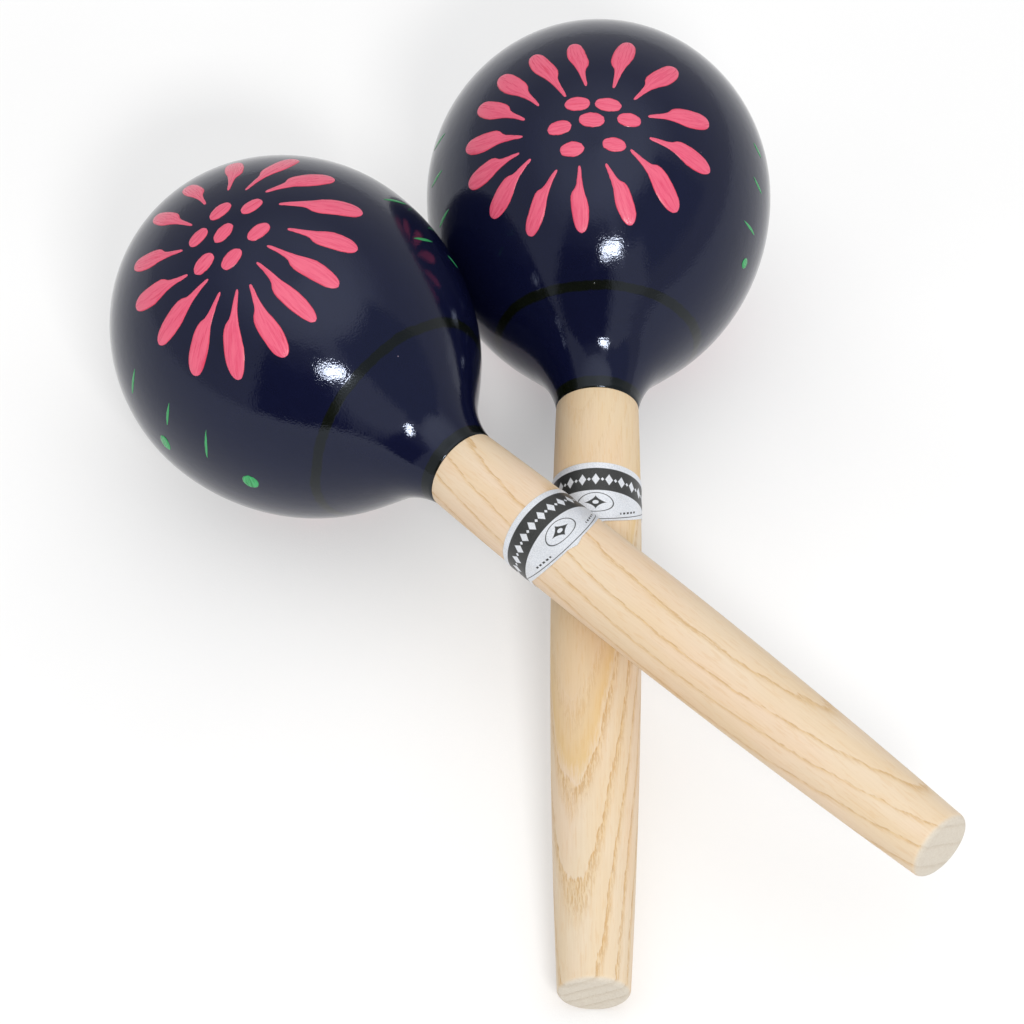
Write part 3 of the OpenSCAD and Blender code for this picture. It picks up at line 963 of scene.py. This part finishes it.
def paint_head(m, petal, dot, leaf):
    front = flower_layout(m, FLOWERS[m.name]["turn"], 1)
    back = flower_layout(m, FLOWERS[m.name]["turn"] + 180, -1)
    paint_marks(m, f"{m.name}_petals", petal, front[0] + back[0], PINK_PAINT, 3.0, 1.2 * MM, 0.25 * MM)
    paint_marks(m, f"{m.name}_flower_dots", dot, front[1] + back[1], PINK_PAINT, 5.0, 0.4 * MM, 0.4 * MM)
    leaves = []
    for from_turn, from_down, to_turn, to_down in LEAVES[m.name]:
        start = np.array([from_turn * DEG * m.head_r, -from_down * MM])
        way = np.array([(to_turn - from_turn) * DEG * m.head_r, (from_down - to_down) * MM])
        long = float(np.hypot(*way)) / LEAF_LENGTH
        wide = 0.7 + 0.25 * random.random()
        leaves.append((*start, math.atan2(way[1], way[0]), long, wide))
    paint_marks(m, f"{m.name}_leaves", leaf, leaves, GREEN_PAINT, 7.0, 0.5 * MM, 0.15 * MM)
    spots = [(turn * DEG * m.head_r - long * DOT_LENGTH / 2, -down * MM, 0.1, long, wide)
             for turn, down, long, wide in GREEN_DOTS[m.name]]
    paint_marks(m, f"{m.name}_green_dots", dot, spots, GREEN_PAINT, 9.0, 0.3 * MM, 0.3 * MM)


# ---------------------------------------------------------------- seeds inside

def seeds(m, name, first, last, seed):
    nodes = [f"{m.name}_pellet_{i}" for i in range(first, last + 1)]
    boxes = [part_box(node) for node in nodes]
    turn = m.place.inverted()
    source = mesh_object(f"{m.name}_{name}", [turn @ ((low + high) / 2) for low, high in boxes])
    low, high = boxes[0]
    mesh = grow(source, SEEDS, diameter=min(high - low), seed=seed, material=SEED)
    place_piece(f"{m.name}_{name}_seeds", mesh, m, body=f"{m.name}_{name}_pellets",
                replaces=nodes)


# ---------------------------------------------------------------- putting it together

random.seed(7)
petal = brush_mark("petal", PETAL_LENGTH, [(t, l * MM, r * MM) for t, l, r in PETAL], 0.16 * MM)
dot = brush_mark("dot", DOT_LENGTH, [(t, l * MM, r * MM) for t, l, r in DOT], 0.18 * MM)
leaf = brush_mark("leaf", LEAF_LENGTH, [(t, l * MM, r * MM) for t, l, r in LEAF], 0.08 * MM)
for number, m in enumerate(pair.values()):
    crown_shell(m)
    neck_shell(m)
    handle(m)
    paper_label(m)
    paint_head(m, petal, dot, leaf)
    seeds(m, "tossed", 1, 10, 11 + number)
    seeds(m, "running", 11, 20, 21 + number)
for mark in (petal, dot, leaf):
    bpy.data.objects.remove(mark)


def make_floor():
    """White acrylic, lit a little from below."""
    made, g, put, _ = new_material("white_acrylic")
    place = g.node("ShaderNodeTexCoord").outputs["Object"]
    tone = g.mix(g.step(g.noise(place, 9.0, 3.0), 0.35, 0.65), (0.59, 0.59, 0.59, 1), (0.61, 0.61, 0.61, 1))
    put("Base Color", tone)
    put("Emission Color", (1, 1, 1, 1))
    put("Emission Strength", 0.34)
    put("Normal", bump(g, g.noise(place, 1800.0, 3.0), 0.03 * MM))
    put("Roughness", 0.85)
    put("Specular IOR Level", 0.1)
    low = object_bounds()[0][2]  # the paint on the underside is what touches the ground
    wide = 40.0  # so far out that its edge stays out of low views
    corners_at = [(-wide, -wide, low), (wide, -wide, low), (wide, wide, low), (-wide, wide, low)]
    floor = mesh_object("floor", corners_at, faces=[(0, 1, 2, 3)])
    floor.data.materials.append(made)


def make_light():
    """A white tent with a dark opening on the camera's side, and one soft flash."""
    world = bpy.data.worlds.new("white_tent")
    world.use_nodes = True
    bpy.context.scene.world = world
    g = Graph(world.node_tree)
    background = world.node_tree.nodes["Background"]
    x, y, z = g.separate(g.node("ShaderNodeTexCoord").outputs["Generated"])
    azimuth = g.math("FLOORED_MODULO", g.math("DEGREES", g.math("ARCTAN2", x, y)), 360.0)
    height = g.math("DEGREES", g.math("ARCSINE", z))
    brightest = 130.0
    towards = g.math("COSINE", g.math("RADIANS", g.sub(azimuth, brightest)))
    towards = g.math("MULTIPLY_ADD", towards, 0.5, 0.5)
    above = g.mul(g.step(height, 38.0, 68.0), g.math("MULTIPLY_ADD", towards, 0.6, 0.5))
    tent = g.add(0.72, above)

    def patch(west, east, low, high, blur):
        """Is 1 in a part of the tent, given in degrees, with its slopes outside it."""
        return g.mul(g.span(azimuth, west - blur, west, east, east + blur),
                     g.span(height, low - blur, low, high, high + blur))

    light = g.mix(patch(90, 150, 20, 52, 6.0), g.combine(tent, tent, tent), (0.47, 0.5, 0.55, 1))
    light = g.mix(patch(143, 165, 10, 34, 2.0), light, (1.1, 1.1, 1.1, 1))
    shade = g.step(height, 30.0, 50.0, 0.08, 0.42)
    opening = g.mul(g.span(azimuth, 168.0, 172.0, 212.0, 213.5), g.span(height, -9.0, -5.0, 48.0, 54.0))
    light = g.mix(opening, light, g.combine(shade, shade, shade))
    g.feed(background.inputs["Color"], light)
    background.inputs["Strength"].default_value = 0.92

    data = bpy.data.lights.new("flash", "AREA")
    data.shape, data.size, data.size_y = "RECTANGLE", 0.56, 0.3
    data.energy = 29
    data.color = (1.0, 0.99, 0.97)
    flash = bpy.data.objects.new("flash", data)
    way = Vector((0.165, -0.775, 0.61)).normalized()
    aim, distance = Vector((0, 0.06, 0.044)), 2.5
    flash.location = aim + way * distance
    flash.rotation_euler = way.to_track_quat("Z", "Y").to_euler()
    show(flash)
    bpy.context.scene.view_settings.view_transform = "Standard"


make_floor()
make_light()
